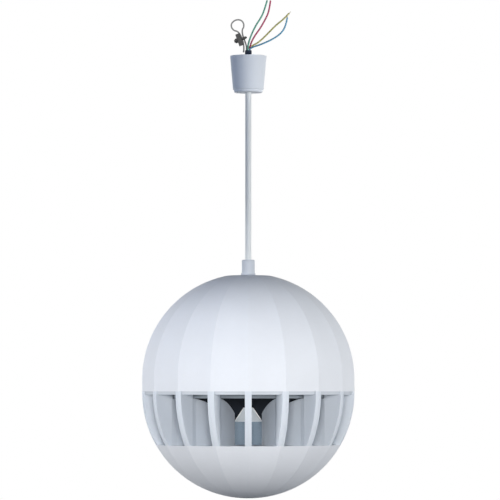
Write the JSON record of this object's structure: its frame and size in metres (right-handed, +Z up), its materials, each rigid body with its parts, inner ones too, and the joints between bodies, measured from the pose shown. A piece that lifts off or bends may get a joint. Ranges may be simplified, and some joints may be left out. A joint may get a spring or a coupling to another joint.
{
  "type": "pendant speaker",
  "caption": "White ball loudspeaker that hangs on its cable from a small ceiling cup and radiates all round through a slotted band below its middle.",
  "frame": {"origin": "centre of the canopy cup's rim, where it meets the ceiling, on the cable's axis", "axes": "+Z up along the cable, -Y towards the viewer of the picture, +X to the viewer's right"},
  "size_m": [0.25, 0.2538, 0.5914],
  "materials": {
    "white_shell": "satin white moulding",
    "louvre_grey": "pale grey moulding",
    "canopy_white": "satin white moulding",
    "cable_white": "white PVC sheath",
    "sleeve_black": "dark shrink sleeve",
    "wire_green": "green insulation",
    "wire_red": "red insulation",
    "wire_yellow": "yellow insulation",
    "wire_blue": "blue insulation",
    "rope_steel": "stranded steel",
    "clip_zinc": "zinc plated",
    "screw_steel": "zinc plated",
    "board_black": "black fibre board",
    "basket_black": "black enamel",
    "gasket_grey": "dense grey foam rubber",
    "paper_black": "black pulp cone",
    "cloth_black": "doped cloth",
    "spider_tan": "treated cotton",
    "copper": "enamelled copper",
    "former_foil": "aluminium foil",
    "ferrite": "sintered ferrite",
    "plate_zinc": "zinc plated",
    "lamination": "varnished laminations",
    "coil_tape": "yellow tape",
    "block_white": "nylon",
    "lead_mix": "coloured insulation",
    "strip_brown": "phenolic board"
  },
  "bodies": {
    "ball": {"cable_jacket": "cable_white", "end_sleeve": "sleeve_black", "wire_green": "wire_green", "wire_red": "wire_red", "wire_yellow": "wire_yellow", "wire_blue": "wire_blue", "rope": "rope_steel", "clip_saddle": "clip_zinc", "clip_bow": "clip_zinc", "clip_nuts": "clip_zinc", "cable_gland": "white_shell", "gland_locknut": "white_shell", "cable_ferrule": "plate_zinc", "upper_shell": "white_shell", "baffle": "board_black", "housing_screws": "screw_steel", "fin_ring": "louvre_grey", "louvre_fins": "louvre_grey", "louvre_floor": "louvre_grey", "lower_bowl": "white_shell", "column": "louvre_grey", "column_cap": "louvre_grey", "bell": "white_shell", "bridge": "basket_black", "bridge_screws": "screw_steel", "tie_bolt": "screw_steel", "driver_frame": "basket_black", "driver_gasket": "gasket_grey", "surround": "cloth_black", "spider": "spider_tan", "top_plate": "plate_zinc", "magnet": "ferrite", "yoke": "plate_zinc", "driver_screws": "screw_steel", "transformer_core": "lamination", "transformer_coil": "coil_tape", "transformer_strap": "plate_zinc", "strap_screws": "screw_steel", "terminal_block": "block_white", "inner_leads": "lead_mix", "terminal_strip": "strip_brown"},
    "canopy": {"canopy_cup": "canopy_white", "canopy_plug": "canopy_white", "canopy_screw": "screw_steel"},
    "cone": {"cone": "paper_black", "dust_cap": "paper_black", "coil_former": "former_foil", "coil_winding": "copper"}
  },
  "joints": [
    {"name": "canopy_slide", "type": "slide", "parent": "ball", "child": "canopy", "axis": [0, 0, -1], "range_m": [0, 0.12]},
    {"name": "cone_travel", "type": "slide", "parent": "ball", "child": "cone", "axis": [0, 0, -1], "range_m": [-0.002, 0.002], "stiffness_N_per_m": 1500, "deforming": ["surround", "spider"]}
  ]
}
